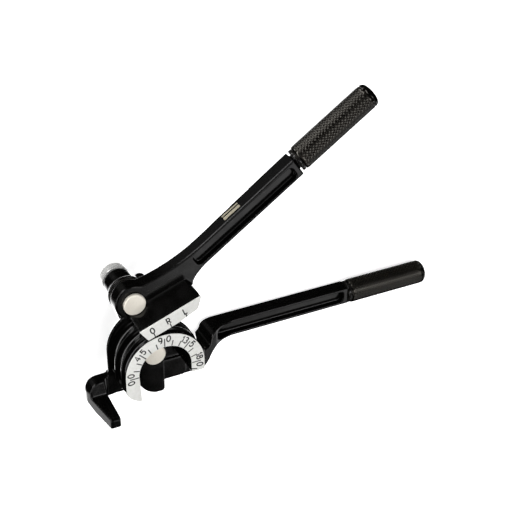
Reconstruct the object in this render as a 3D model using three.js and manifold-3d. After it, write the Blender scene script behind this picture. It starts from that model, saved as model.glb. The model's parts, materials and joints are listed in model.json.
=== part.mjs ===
// Two-handle tube bender for 6, 8 and 10 mm tube, bends up to 180 degrees.
// Millimetres, +Z up, the tool lies on its back with both pivot pins upright.
// The origin is the centre of the rear end face of pivot pin A, on the bending wheel's axis.
// +X runs along the former handle towards its grip, +Y towards the wheel's 90 degree mark.
import * as THREE from 'three';
import { mergeVertices } from 'three/addons/utils/BufferGeometryUtils.js';
import Module from 'manifold-3d';

const wasm = await Module();
wasm.setup();

// ---- Driving dimensions -------------------------------------------------------------------
const GAP = 0.3;                      // air between two pieces that meet
const FIT = 0.1;                      // running clearance on a radius
const SMOOTH = 30;                    // facets round a pin, bush or grip
const ARCH_STEPS = 20;                // facets over the wheel's half circle
const TURN_GAP = 0.2;                 // air each side of a washer

// The stack along the pivots, from the back to the scale's face
const PIN_A_END_Z = 0;
const LINK_BACK_Z = 6;
const LINK_FRONT_Z = 13.6;
const PLATE_BACK_Z = 15;
const PLATE_FRONT_Z = 20.8;
const LUG_FRONT_Z = 30;
const WHEEL_FRONT_Z = 50;
const SCALE_FACE_Z = 51;
const SCALE_THICK = 0.7;

// Bending wheel: one groove per tube size, smallest at the front
const BEND_RADIUS = 28;               // centre line of a bent tube
const GROOVES = [
  { tube: 6, z: 46.3, flangeRadius: 27.8 },
  { tube: 8, z: 37.1, flangeRadius: 28.0 },
  { tube: 10, z: 25.9, flangeRadius: 28.4 },
];
const GROOVE_SLACK = 0.1;             // groove radius over tube radius
const PLATE_RADIUS = 29.3;
const PLATE_BACK_RADIUS = 27;         // the plate's edge leans in towards its back
const PLATE_RISE = 2.8;               // the plate's rim is centred this far above pivot A
const ARCH_INNER_RADIUS = 18.2;
const TAIL_DROP = 10.8;               // the arch's straight side below the 0 mark
const TAIL_TIP = 19.8;
const RIGHT_DROP = 7.8;               // the arch's straight side below the 180 mark
const PLATE_BOTTOM_Y = -30.8;

// Hook that holds the tube against the wheel
const HOOK_OUTER_X = -45.8;
const HOOK_TIP_Z = 55.6;
const HOOK_ARM_OUTLINE = [              // seen from the front, rounded where it meets the plate
  [-23, PLATE_BOTTOM_Y], [-44, -33], [-46.2, -31], [-46.2, -23.6], [-44.8, -20.2], [-42.8, -17.8],
  [-40.6, -16.3], [-38, -15.6], [-23, -15],
];
const HOOK_BACK_Z = 15;
const TUBE_SIDE_X = -33.2;            // inner face of the finger

// Former shank
const SHANK_TOP_Y = -11.5;
const SHANK_BOTTOM_Y = -24.1;
const SHANK_BACK_Z = -9;
const SHANK_FRONT_Z = 3;
const SHANK_END_X = 165.5;

// Pivots
const PIN_RADIUS = 4.5;
const PIN_HEAD_RADIUS = 7.45;
const PIN_HEAD_RISE = 3.2;
const PIN_HEAD_FILLET = 0.9;
const PIN_HEAD_CROWN = 0.35;          // how far the head's top swells in its middle
const BUSH_RADIUS = 6.2;
const PIVOT_A = new THREE.Vector2(0, 0);
const PIVOT_B = new THREE.Vector2(-13.9, 47.3);
const PIN_B_END_Z = 0;
const THRUST_RADIUS_A = 8.4;
const THRUST_RADIUS_B = 10;
const REAR_WASHER_RADIUS = 8.4;
const REAR_WASHER_Z = 4.8;

// Link
const LINK_HALF_WIDTH = 9.6;
const BOSS_RADIUS = 9.4;
const BOSS_TOP_RADIUS = 12.2;
const BOSS_FRONT_Z = 23.4;
const CAP_NUT_RADIUS = 9.5;
const CAP_NUT_LENGTH = 7.2;

// Shoe lever
const EYE_RADIUS = 12.2;
const BOSS_RELIEF_BACK_Z = 19;
const BOSS_RELIEF_GAP = 0.6;
const HEAD_RELIEF_GAP = 0.25;
const EAR_RADIUS = 4.8;
const EAR_BACK_Z = 20.4;
const EAR = { x: -4.3, y: 54.1 };
const SHOE_BACK_Z = 24.7;             // back of the eye
const LEVER_BACK_Z = 26;              // back of the lever at the head; it deepens towards the grip
const LEVER_END_BACK_Z = 23.6;
const SHOE_FRONT_Z = 35.6;
const BLOCK_TILT = THREE.MathUtils.degToRad(20);
const BLOCK_LEFT = -3.4;              // along the block, from the foot of the wheel's axis
const BLOCK_RIGHT = 41.7;
const BLOCK_BACK_Z = 21.3;
const BLOCK_FACE = 28.4;              // sliding face, measured from the wheel's axis
const BLOCK_FRONT_TOP = 38;
const BLOCK_WEB_TOP = 44.5;
const LEVER_TILT = THREE.MathUtils.degToRad(34.4);
const LEVER_AXIS = 37.6;              // lever's centre line, measured from the wheel's axis
const LEVER_HALF = 6.5;
const LEVER_SPREAD = 1.2;             // how much wider the lever is at its grip end
const LEVER_END = 152.4;              // along the lever, where the section stops
const GRIP_AXIS = 39.1;               // the grip's centre line, measured as the lever's

// H section of both handles
const RIM = 1.7;
const WEB = 3.4;

// Grips
const GRIP_RADIUS = 8.8;
const GRIP_LENGTH = 60.6;
const GRIP_BORE = 5.4;
const TANG_RADIUS = 5.2;
const TANG_LENGTH = 50;
const COLLAR_LENGTH = 2.2;
const COLLAR_RADIUS = 8.2;
const PLUG_LENGTH = 4.2;

// Finishes
const FINISHES = {
  blackPaint: { color: 0x0c0c0d, roughness: 0.28, metalness: 0.0 },
  gripBlack: { color: 0x151413, roughness: 0.5, metalness: 0.2 },
  whitePaint: { color: 0xe9e9e4, roughness: 0.45, metalness: 0.0 },
  nickel: { color: 0xd8d2c4, roughness: 0.25, metalness: 1.0 },
  zinc: { color: 0xc4c6c8, roughness: 0.32, metalness: 1.0 },
  bronze: { color: 0x9a7440, roughness: 0.45, metalness: 1.0 },
};

// ---- Solid helpers ------------------------------------------------------------------------
function solid(geometry) {
  const bare = geometry.clone();
  bare.deleteAttribute('normal');
  bare.deleteAttribute('uv');
  const merged = mergeVertices(bare, 1e-4);
  const vertProperties = new Float32Array(merged.attributes.position.array);
  const triVerts = new Uint32Array(merged.index.array);
  return new wasm.Manifold(new wasm.Mesh({ numProp: 3, vertProperties, triVerts }));
}

function geometryOf(body) {
  const { numProp, vertProperties, triVerts } = body.getMesh();
  const geometry = new THREE.BufferGeometry();
  const buffer = new THREE.InterleavedBuffer(vertProperties, numProp);
  geometry.setAttribute('position', new THREE.InterleavedBufferAttribute(buffer, 3, 0));
  geometry.setIndex(new THREE.BufferAttribute(triVerts, 1));
  const plain = geometry.toNonIndexed();
  plain.computeVertexNormals();
  return plain;
}

function part(name, body, finish) {
  const material = new THREE.MeshStandardMaterial(FINISHES[finish]);
  const mesh = new THREE.Mesh(geometryOf(body), material);
  mesh.name = name;
  return mesh;
}

// A shape in the XY plane, raised from zLow to zHigh with softened edges
function slab(shape, zLow, zHigh, bevel = 0, curveSegments = 12) {
  const geometry = new THREE.ExtrudeGeometry(shape, {
    depth: zHigh - zLow - 2 * bevel,
    bevelEnabled: bevel > 0,
    bevelThickness: bevel,
    bevelSize: bevel,
    bevelOffset: -bevel,
    bevelSegments: 1,
    curveSegments,
  });
  return solid(geometry.translate(0, 0, zLow + bevel));
}

// A shape drawn in (x, z) and thickened along Y
function sideSlab(shape, yLow, yHigh) {
  const geometry = new THREE.ExtrudeGeometry(shape, { depth: yHigh - yLow, bevelEnabled: false });
  geometry.rotateX(Math.PI / 2);
  return solid(geometry.translate(0, yHigh, 0));
}

// A profile of (radius, height) points turned about the Z axis, and moved to (x, y)
function turned(points, x = 0, y = 0, segments = SMOOTH) {
  const profile = points.map(([radius, height]) => new THREE.Vector2(radius, height));
  const geometry = new THREE.LatheGeometry(profile, segments);
  geometry.rotateX(Math.PI / 2);
  return solid(geometry.translate(x, y, 0));
}

function ring(inner, outer, zLow, zHigh, x = 0, y = 0) {
  return turned([[inner, zLow], [outer, zLow], [outer, zHigh], [inner, zHigh], [inner, zLow]], x, y);
}

function disc(radius, zLow, zHigh, x = 0, y = 0) {
  return turned([[0, zLow], [radius, zLow], [radius, zHigh], [0, zHigh]], x, y);
}

function polygon(points) {
  return new THREE.Shape(points.map(([x, y]) => new THREE.Vector2(x, y)));
}

function roundedRect(xLow, yLow, xHigh, yHigh, radius) {
  const shape = new THREE.Shape();
  shape.moveTo(xLow + radius, yLow);
  shape.lineTo(xHigh - radius, yLow);
  shape.absarc(xHigh - radius, yLow + radius, radius, -Math.PI / 2, 0, false);
  shape.lineTo(xHigh, yHigh - radius);
  shape.absarc(xHigh - radius, yHigh - radius, radius, 0, Math.PI / 2, false);
  shape.lineTo(xLow + radius, yHigh);
  shape.absarc(xLow + radius, yHigh - radius, radius, Math.PI / 2, Math.PI, false);
  shape.lineTo(xLow, yLow + radius);
  shape.absarc(xLow + radius, yLow + radius, radius, Math.PI, 1.5 * Math.PI, false);
  return shape;
}

// ---- Former casting -----------------------------------------------------------------------
// The arch of the wheel seen from the front, for one outside radius
function archShape(outer) {
  const inner = ARCH_INNER_RADIUS;
  const shape = new THREE.Shape();
  shape.moveTo(outer, -RIGHT_DROP);
  shape.lineTo(outer, 0);
  shape.absarc(0, 0, outer, 0, Math.PI, false);
  shape.lineTo(-outer, -TAIL_DROP);
  shape.quadraticCurveTo(-outer + 1.8, -TAIL_DROP - 6, -inner + 1, -TAIL_TIP);
  shape.lineTo(-inner, 0);
  shape.absarc(0, 0, inner, Math.PI, 0, true);
  shape.lineTo(inner, -RIGHT_DROP);
  return shape;
}

// The room a tube takes: half a torus over the wheel and a straight run down each side
function tubePath(groove) {
  const radius = groove.tube / 2 + GROOVE_SLACK;
  const bend = new THREE.TorusGeometry(BEND_RADIUS, radius, 16, 2 * ARCH_STEPS);
  const straight = new THREE.CylinderGeometry(radius, radius, 60, 16);
  straight.rotateY(Math.PI / 16);
  const left = straight.clone().translate(-BEND_RADIUS, -30, groove.z);
  const right = straight.clone().translate(BEND_RADIUS, -30, groove.z);
  return solid(bend.translate(0, 0, groove.z)).add(solid(left)).add(solid(right));
}

function wheel() {
  let body = slab(archShape(PLATE_BACK_RADIUS), PLATE_FRONT_Z - 1, GROOVES[2].z, 0, ARCH_STEPS);
  const layers = [
    [GROOVES[2].z, GROOVES[1].z, GROOVES[2].flangeRadius],
    [GROOVES[1].z, GROOVES[0].z, GROOVES[1].flangeRadius],
    [GROOVES[0].z, WHEEL_FRONT_Z, GROOVES[0].flangeRadius],
  ];
  for (const [zLow, zHigh, radius] of layers) {
    body = body.add(slab(archShape(radius), zLow, zHigh, 0, ARCH_STEPS));
  }
  for (const groove of GROOVES) {
    body = body.subtract(tubePath(groove));
  }
  return body;
}

// Everything of the casting that lies behind the wheel, seen from the front
function plateShape() {
  const shape = new THREE.Shape();
  shape.moveTo(-PLATE_RADIUS, PLATE_BOTTOM_Y);
  shape.lineTo(40, PLATE_BOTTOM_Y - 0.4);
  shape.quadraticCurveTo(46, PLATE_BOTTOM_Y - 0.4, 48.6, -28.2);
  shape.quadraticCurveTo(54, SHANK_BOTTOM_Y, 68, SHANK_BOTTOM_Y);
  shape.lineTo(SHANK_END_X, SHANK_BOTTOM_Y);
  shape.lineTo(SHANK_END_X, SHANK_TOP_Y);
  shape.lineTo(58, SHANK_TOP_Y);
  shape.quadraticCurveTo(51, SHANK_TOP_Y - 0.5, 49.4, -16.2);
  shape.quadraticCurveTo(48.6, -20.6, 44, -18.6);
  shape.quadraticCurveTo(38, -15, 34.5, -4.5);
  shape.quadraticCurveTo(32.5, 1.5, 27, 7.4);
  shape.quadraticCurveTo(20, 16, 14.4, PLATE_RISE + 25.5);
  shape.absarc(0, PLATE_RISE, PLATE_RADIUS, Math.PI / 3, Math.PI, false);
  shape.lineTo(-PLATE_RADIUS, -16);
  return shape;
}

// What the leaning edge takes off the back of the plate, over the arc and down its left side
function plateEdge() {
  const zLow = SHANK_BACK_Z - 2;
  const section = [
    [PLATE_BACK_RADIUS, zLow], [PLATE_RADIUS + 4, zLow], [PLATE_RADIUS + 4, PLATE_FRONT_Z - 2],
    [PLATE_RADIUS, PLATE_FRONT_Z - 2], [PLATE_BACK_RADIUS, PLATE_BACK_Z],
  ];
  const band = turned([...section, section[0]], 0, PLATE_RISE, 2 * ARCH_STEPS);
  const above = polygon([[-40, PLATE_RISE], [24, PLATE_RISE], [24, 45], [-40, 45]]);
  const upper = slab(above, zLow - 1, PLATE_FRONT_Z);
  const left = sideSlab(polygon(section.map(([x, z]) => [-x, z]).reverse()), -14, PLATE_RISE + 0.01);
  return band.intersect(upper).add(left);
}

// The plate, crank and shank seen from below: the neck steps back behind the wheel's plate
function crankShape() {
  const shape = new THREE.Shape();
  shape.moveTo(-40, PLATE_BACK_Z);
  shape.lineTo(33, PLATE_BACK_Z);
  shape.quadraticCurveTo(37, PLATE_BACK_Z - 1, 40, 9);
  shape.lineTo(44.6, -5);
  shape.quadraticCurveTo(46, SHANK_BACK_Z, 51, SHANK_BACK_Z);
  shape.lineTo(SHANK_END_X + 5, SHANK_BACK_Z);
  shape.lineTo(SHANK_END_X + 5, SHANK_FRONT_Z);
  shape.lineTo(70, SHANK_FRONT_Z);
  shape.quadraticCurveTo(61, SHANK_FRONT_Z + 1, 54, 9.6);
  shape.lineTo(42.5, 18.4);
  shape.quadraticCurveTo(40, PLATE_FRONT_Z, 36, PLATE_FRONT_Z);
  shape.lineTo(-40, PLATE_FRONT_Z);
  return shape;
}

// Long pockets in the front and back of a shank leave an H section
function pockets(xLow, xHigh, yLow, yHigh, zBack, zFront) {
  const middle = (zBack + zFront) / 2;
  const outline = roundedRect(xLow, yLow, xHigh, yHigh, 3.4);
  const front = slab(outline, middle + WEB / 2, zFront + 8, 0, 5);
  const back = slab(outline, zBack - 8, middle - WEB / 2, 0, 5);
  return front.add(back);
}

function hook() {
  const side = new THREE.Shape();
  side.moveTo(-24, HOOK_BACK_Z);
  side.lineTo(-41, HOOK_BACK_Z);
  side.quadraticCurveTo(HOOK_OUTER_X, HOOK_BACK_Z, HOOK_OUTER_X, HOOK_BACK_Z + 4);
  side.lineTo(HOOK_OUTER_X, PLATE_FRONT_Z + 1);
  side.lineTo(-41.2, HOOK_TIP_Z - 1);
  side.lineTo(-40.4, HOOK_TIP_Z);
  side.lineTo(-34.8, HOOK_TIP_Z);
  side.lineTo(-34.2, HOOK_TIP_Z - 1);
  side.lineTo(TUBE_SIDE_X, PLATE_FRONT_Z + 3);
  side.quadraticCurveTo(TUBE_SIDE_X, PLATE_FRONT_Z, TUBE_SIDE_X + 3, PLATE_FRONT_Z);
  side.lineTo(-24, PLATE_FRONT_Z);
  const arm = polygon(HOOK_ARM_OUTLINE);
  const taper = new THREE.Shape();
  taper.moveTo(-33.6, HOOK_BACK_Z - 1);
  taper.lineTo(-10, HOOK_BACK_Z - 1);
  taper.lineTo(-10, PLATE_FRONT_Z + 2);
  taper.lineTo(-24.4, PLATE_FRONT_Z + 7);
  taper.lineTo(-24, HOOK_TIP_Z - 1.8);
  taper.lineTo(-25.8, HOOK_TIP_Z + 0.5);
  taper.lineTo(-30.6, HOOK_TIP_Z + 0.5);
  taper.lineTo(-32, HOOK_TIP_Z - 1.4);
  taper.lineTo(-33.6, PLATE_FRONT_Z);
  const across = new THREE.ExtrudeGeometry(taper, { depth: 30, bevelEnabled: false });
  across.rotateX(Math.PI / 2);
  across.rotateZ(Math.PI / 2);
  across.translate(-50, 0, 0);
  const blank = sideSlab(side, -34, -10);
  return blank.intersect(slab(arm, HOOK_BACK_Z - 1, HOOK_TIP_Z + 1)).intersect(solid(across));
}

// The lug inside the arch that carries pin A
function pivotLug() {
  const shape = new THREE.Shape();
  shape.moveTo(-10.6, -24);
  shape.quadraticCurveTo(-6.5, -31.4, 0, -33.1);
  shape.lineTo(4.6, -33.4);
  shape.quadraticCurveTo(7, -33.2, 7.1, -30.4);
  shape.lineTo(7.4, -9);
  shape.absarc(0, 0, 10, -0.75, Math.PI, false);
  return slab(shape, PLATE_FRONT_Z - 1, LUG_FRONT_Z, 0.7, 8);
}

function tang(length, radius) {
  const geometry = new THREE.CylinderGeometry(radius, radius, length, SMOOTH);
  geometry.rotateZ(-Math.PI / 2);
  return geometry;
}

function formerCasting() {
  const plate = slab(plateShape(), SHANK_BACK_Z - 1, PLATE_FRONT_Z + 1, 0, 14);
  const cranked = plate.intersect(sideSlab(crankShape(), -60, 40)).subtract(plateEdge());
  const ledge = slab(roundedRect(6, PLATE_BOTTOM_Y + 0.6, 26, -14, 3), PLATE_FRONT_Z - 1, 22.6, 0.5, 4);
  const shankAxisY = (SHANK_TOP_Y + SHANK_BOTTOM_Y) / 2;
  const shankAxisZ = (SHANK_BACK_Z + SHANK_FRONT_Z) / 2;
  const tail = tang(TANG_LENGTH + 4, TANG_RADIUS);
  tail.translate(SHANK_END_X + TANG_LENGTH / 2 - 2, shankAxisY, shankAxisZ);
  const cut = pockets(57, SHANK_END_X - 4, SHANK_BOTTOM_Y + RIM, SHANK_TOP_Y - RIM,
    SHANK_BACK_Z, SHANK_FRONT_Z);
  const bore = disc(PIN_RADIUS + 0.05, PIN_A_END_Z, LUG_FRONT_Z + 5);
  return cranked.add(wheel()).add(hook()).add(pivotLug()).add(ledge).subtract(cut)
    .add(solid(tail)).subtract(bore);
}

// ---- Pins, washers, nuts, bushes ----------------------------------------------------------
// A washer that fills the space between zLow and zHigh on a pin, with air on both faces
function washerRing(radius, zLow, zHigh, { x, y }) {
  return ring(PIN_RADIUS + FIT, radius, zLow + TURN_GAP, zHigh - TURN_GAP, x, y);
}

// A plain bush pressed into an eye, as long as the eye
function bush(zLow, zHigh, { x, y }) {
  return ring(PIN_RADIUS + FIT, BUSH_RADIUS - FIT, zLow, zHigh, x, y);
}

// A plated pin with a low domed head, its underside at headZ and its end at endZ
function headedPin(headZ, endZ, centre) {
  const { x, y } = centre;
  const points = [[0, endZ], [PIN_RADIUS - 0.5, endZ], [PIN_RADIUS, endZ + 0.5], [PIN_RADIUS, headZ]];
  points.push([PIN_HEAD_RADIUS, headZ]);
  const top = headZ + PIN_HEAD_RISE;
  const filletCentre = PIN_HEAD_RADIUS - PIN_HEAD_FILLET;
  const filletZ = top - PIN_HEAD_CROWN - PIN_HEAD_FILLET;
  const steps = 4;
  for (let step = 0; step < steps; step += 1) {
    const angle = (step / steps) * (Math.PI / 2);
    const radius = filletCentre + PIN_HEAD_FILLET * Math.cos(angle);
    points.push([radius, filletZ + PIN_HEAD_FILLET * Math.sin(angle)]);
  }
  points.push([filletCentre - 0.4, top - PIN_HEAD_CROWN]);
  points.push([filletCentre / 2, top - PIN_HEAD_CROWN / 4]);
  points.push([0, top]);
  return turned(points, x, y);
}

function lockNut() {
  const hexagon = new THREE.CylinderGeometry(7.5, 7.5, 4.1, 6);
  hexagon.rotateX(Math.PI / 2);
  return solid(hexagon.translate(0, 0, 2.75)).subtract(disc(PIN_RADIUS + FIT, -1, 6));
}

function capNut() {
  const top = LINK_BACK_Z - 1.2;
  const bottom = top - CAP_NUT_LENGTH;
  const bore = PIN_RADIUS + FIT;
  const outer = CAP_NUT_RADIUS;
  const points = [[0, bottom], [outer - 1, bottom], [outer, bottom + 1], [outer, top - 0.5]];
  points.push([outer - 0.5, top]);
  points.push([bore, top]);
  points.push([bore, bottom + 1.8]);
  points.push([0, bottom + 1.8]);
  return turned(points, PIVOT_B.x, PIVOT_B.y);
}

// ---- Link ---------------------------------------------------------------------------------
function linkArm() {
  const length = PIVOT_B.length();
  const shape = new THREE.Shape();
  shape.absarc(0, 0, LINK_HALF_WIDTH, -Math.PI / 2, Math.PI / 2, true);
  shape.lineTo(length, LINK_HALF_WIDTH);
  shape.absarc(length, 0, LINK_HALF_WIDTH, Math.PI / 2, -Math.PI / 2, true);
  const bar = new THREE.ExtrudeGeometry(shape, {
    depth: LINK_FRONT_Z - LINK_BACK_Z - 1.2,
    bevelThickness: 0.6,
    bevelSize: 0.6,
    bevelOffset: -0.6,
    bevelSegments: 1,
    curveSegments: 14,
  });
  bar.translate(0, 0, LINK_BACK_Z + 0.6).rotateZ(PIVOT_B.angle());
  const boss = turned([
    [0, LINK_BACK_Z + 0.6], [BOSS_RADIUS - 0.6, LINK_BACK_Z + 0.6], [BOSS_RADIUS, LINK_BACK_Z + 1.2],
    [BOSS_RADIUS, 15], [BOSS_RADIUS + 0.5, 18], [BOSS_TOP_RADIUS - 0.5, 20.4],
    [BOSS_TOP_RADIUS, 21.4], [BOSS_TOP_RADIUS, 22.8], [BOSS_TOP_RADIUS - 0.6, BOSS_FRONT_Z],
    [0, BOSS_FRONT_Z],
  ], PIVOT_B.x, PIVOT_B.y);
  const boreA = disc(BUSH_RADIUS + 0.05, 0, 20);
  const boreB = disc(PIN_RADIUS + 0.05, 0, 30, PIVOT_B.x, PIVOT_B.y);
  return solid(bar).add(boss).subtract(boreA).subtract(boreB);
}

// ---- Shoe lever ---------------------------------------------------------------------------
// A point of the block: along its length, and out from the wheel's axis
function blockPoint(along, out) {
  return new THREE.Vector2(along, out).rotateAround(new THREE.Vector2(), BLOCK_TILT);
}

// A point of the lever: along its length, and across from the wheel's axis
function leverPoint(along, across) {
  return new THREE.Vector2(along, across).rotateAround(new THREE.Vector2(), LEVER_TILT);
}

function headShape() {
  const shape = new THREE.Shape();
  const topStart = THREE.MathUtils.degToRad(84);
  const bottomEnd = THREE.MathUtils.degToRad(250);
  shape.absarc(PIVOT_B.x, PIVOT_B.y, EYE_RADIUS, topStart, bottomEnd, false);
  const corners = [
    blockPoint(BLOCK_LEFT + 1, 36), blockPoint(BLOCK_RIGHT, 36), blockPoint(BLOCK_RIGHT + 1.6, 37.2),
  ];
  corners.forEach((corner) => shape.lineTo(corner.x, corner.y));
  const armpit = leverPoint(53, LEVER_AXIS - LEVER_HALF - 2);
  const bottomStart = leverPoint(66, LEVER_AXIS - LEVER_HALF - 0.6);
  shape.quadraticCurveTo(armpit.x, armpit.y, bottomStart.x, bottomStart.y);
  const bottomEndPoint = leverPoint(LEVER_END, LEVER_AXIS - LEVER_HALF);
  const topEndPoint = leverPoint(LEVER_END, LEVER_AXIS + LEVER_HALF + LEVER_SPREAD);
  const topStartPoint = leverPoint(74, LEVER_AXIS + LEVER_HALF);
  const crown = leverPoint(50, LEVER_AXIS + LEVER_HALF);
  shape.lineTo(bottomEndPoint.x, bottomEndPoint.y);
  shape.lineTo(topEndPoint.x, topEndPoint.y);
  shape.lineTo(topStartPoint.x, topStartPoint.y);
  shape.quadraticCurveTo(crown.x, crown.y, -8, 58.4);
  return shape;
}

// The lever seen from its side: its back slopes away from the head towards the grip
function leverDepth() {
  const side = polygon([
    [-60, LEVER_BACK_Z], [50, LEVER_BACK_Z], [LEVER_END + 1, LEVER_END_BACK_Z],
    [LEVER_END + 1, SHOE_FRONT_Z + 1], [-60, SHOE_FRONT_Z + 1],
  ]);
  return sideSlab(side, -10, 90).rotate([0, 0, THREE.MathUtils.radToDeg(LEVER_TILT)]);
}

// The block's section, drawn as (out from the wheel's axis, height), then run along the block
function blockBody() {
  const relief = BLOCK_FACE + 0.6;
  const section = polygon([
    [BLOCK_FACE, WHEEL_FRONT_Z], [BLOCK_FACE, 42.2], [relief, 41.6], [relief, BLOCK_BACK_Z],
    [40, BLOCK_BACK_Z], [BLOCK_WEB_TOP, SHOE_BACK_Z + 1], [BLOCK_WEB_TOP, SHOE_FRONT_Z - 0.4],
    [BLOCK_FRONT_TOP, WHEEL_FRONT_Z],
  ]);
  const length = BLOCK_RIGHT - BLOCK_LEFT;
  const geometry = new THREE.ExtrudeGeometry(section, { depth: length, bevelEnabled: false });
  geometry.rotateY(Math.PI / 2).rotateX(Math.PI / 2);
  geometry.translate(BLOCK_LEFT, 0, 0);
  return solid(geometry);
}

// The lower edge of the block seen from the front: both ends lean in towards the wheel, and the
// sliding face lifts a little towards its right end
function blockLowerEdge() {
  return [
    [BLOCK_RIGHT, BLOCK_FRONT_TOP - 0.8], [BLOCK_RIGHT - 4.3, BLOCK_FACE + 2.6],
    [BLOCK_RIGHT - 5.6, BLOCK_FACE + 1.5], [BLOCK_RIGHT - 12, BLOCK_FACE + 0.9], [23, BLOCK_FACE],
    [BLOCK_LEFT + 2.6, BLOCK_FACE], [BLOCK_LEFT + 2, BLOCK_FACE + 1.4], [BLOCK_LEFT, 38],
  ];
}

function shoeBlock() {
  const front = polygon([
    ...blockLowerEdge(), [BLOCK_LEFT + 0.6, BLOCK_WEB_TOP + 1], [BLOCK_RIGHT - 3, BLOCK_WEB_TOP + 1],
    [BLOCK_RIGHT, BLOCK_FRONT_TOP + 1.1],
  ]);
  const trimmed = slab(front, BLOCK_BACK_Z - 1, SCALE_FACE_Z);
  let block = blockBody().intersect(trimmed);
  for (const groove of GROOVES) {
    const radius = groove.tube / 2 + GROOVE_SLACK;
    const run = new THREE.CylinderGeometry(radius, radius, 70, 24);
    run.rotateZ(Math.PI / 2);
    block = block.subtract(solid(run.translate(20, BEND_RADIUS, groove.z)));
  }
  return block.rotate([0, 0, THREE.MathUtils.radToDeg(BLOCK_TILT)]);
}

// A small cast ear on the back of the head
function stopEar() {
  return disc(EAR_RADIUS, EAR_BACK_Z, LEVER_BACK_Z + 1, EAR.x, EAR.y);
}

// The round relief behind the head that the link's boss turns in
function bossRelief() {
  const radius = EYE_RADIUS + BOSS_RELIEF_GAP;
  return disc(radius, BOSS_RELIEF_BACK_Z, SHOE_BACK_Z, PIVOT_B.x, PIVOT_B.y);
}

// The round relief in the block's slope for the head of pin B
function headRelief() {
  const radius = PIN_HEAD_RADIUS + HEAD_RELIEF_GAP;
  return disc(radius, SHOE_FRONT_Z, SCALE_FACE_Z, PIVOT_B.x, PIVOT_B.y);
}

function shoeCasting() {
  const head = slab(headShape(), LEVER_END_BACK_Z, SHOE_FRONT_Z, 0.7, 24).intersect(leverDepth());
  const eye = disc(EYE_RADIUS - 0.4, SHOE_BACK_Z, SHOE_FRONT_Z - 1, PIVOT_B.x, PIVOT_B.y);
  const axisZ = (LEVER_END_BACK_Z + SHOE_FRONT_Z) / 2;
  const cut = pockets(62, LEVER_END - 4, LEVER_AXIS - LEVER_HALF + RIM,
    LEVER_AXIS + LEVER_HALF - RIM + LEVER_SPREAD / 3, LEVER_END_BACK_Z, SHOE_FRONT_Z);
  const tail = tang(TANG_LENGTH + 4, TANG_RADIUS);
  tail.translate(LEVER_END + TANG_LENGTH / 2 - 2, GRIP_AXIS, axisZ);
  const turn = [0, 0, THREE.MathUtils.radToDeg(LEVER_TILT)];
  const bore = disc(BUSH_RADIUS + 0.05, 20, 50, PIVOT_B.x, PIVOT_B.y);
  return head.add(eye).add(shoeBlock()).add(stopEar()).subtract(cut.rotate(turn))
    .add(solid(tail).rotate(turn)).subtract(bossRelief()).subtract(headRelief()).subtract(bore);
}

// ---- Scales -------------------------------------------------------------------------------
function degreeScale() {
  const zLow = SCALE_FACE_Z - SCALE_THICK;
  return slab(archShape(GROOVES[0].flangeRadius), zLow, SCALE_FACE_Z, 0, ARCH_STEPS);
}

function shoeScale() {
  const outline = polygon([
    ...blockLowerEdge(), [BLOCK_LEFT, BLOCK_FRONT_TOP], [BLOCK_RIGHT, BLOCK_FRONT_TOP],
  ]);
  const plate = slab(outline, SCALE_FACE_Z - SCALE_THICK, SCALE_FACE_Z);
  return plate.rotate([0, 0, THREE.MathUtils.radToDeg(BLOCK_TILT)]);
}

// ---- Grips --------------------------------------------------------------------------------
// Pieces of a grip, turned about their own X axis with the shank's end at x = 0
function alongX(points) {
  return turned(points).rotate([0, 90, 0]);
}

function collar() {
  const low = GAP;
  const high = GAP + COLLAR_LENGTH;
  const bore = GRIP_BORE;
  return alongX([
    [bore, low], [COLLAR_RADIUS - 0.8, low], [COLLAR_RADIUS, low + 0.8], [COLLAR_RADIUS, high - 0.4],
    [COLLAR_RADIUS - 0.4, high], [bore, high], [bore, low],
  ]);
}

function gripSleeve() {
  const low = 2 * GAP + COLLAR_LENGTH;
  const high = low + GRIP_LENGTH;
  return alongX([
    [GRIP_BORE, low], [GRIP_RADIUS - 1.2, low], [GRIP_RADIUS, low + 1.4], [GRIP_RADIUS, high],
    [GRIP_BORE, high], [GRIP_BORE, low],
  ]);
}

function endPlug() {
  const low = 3 * GAP + COLLAR_LENGTH + GRIP_LENGTH;
  const points = [[0, low - 7], [GRIP_BORE - FIT, low - 7], [GRIP_BORE - FIT, low], [GRIP_RADIUS, low]];
  const steps = 4;
  for (let step = 1; step <= steps; step += 1) {
    const angle = (step / steps) * (Math.PI / 2);
    const radius = step === steps ? 0 : GRIP_RADIUS * Math.cos(angle) ** 0.5;
    points.push([radius, low + PLUG_LENGTH * Math.sin(angle)]);
  }
  return alongX(points);
}

// The three pieces of a grip on a shank that ends at (x, y, z) and runs at a tilt in the XY plane
function grip(prefix, x, y, z, tilt) {
  const group = new THREE.Group();
  group.add(part(`${prefix}_collar`, collar(), 'blackPaint'));
  group.add(part(`${prefix}_grip`, gripSleeve(), 'gripBlack'));
  group.add(part(`${prefix}_end_plug`, endPlug(), 'gripBlack'));
  group.position.set(x, y, z);
  group.rotation.z = tilt;
  return group;
}

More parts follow.
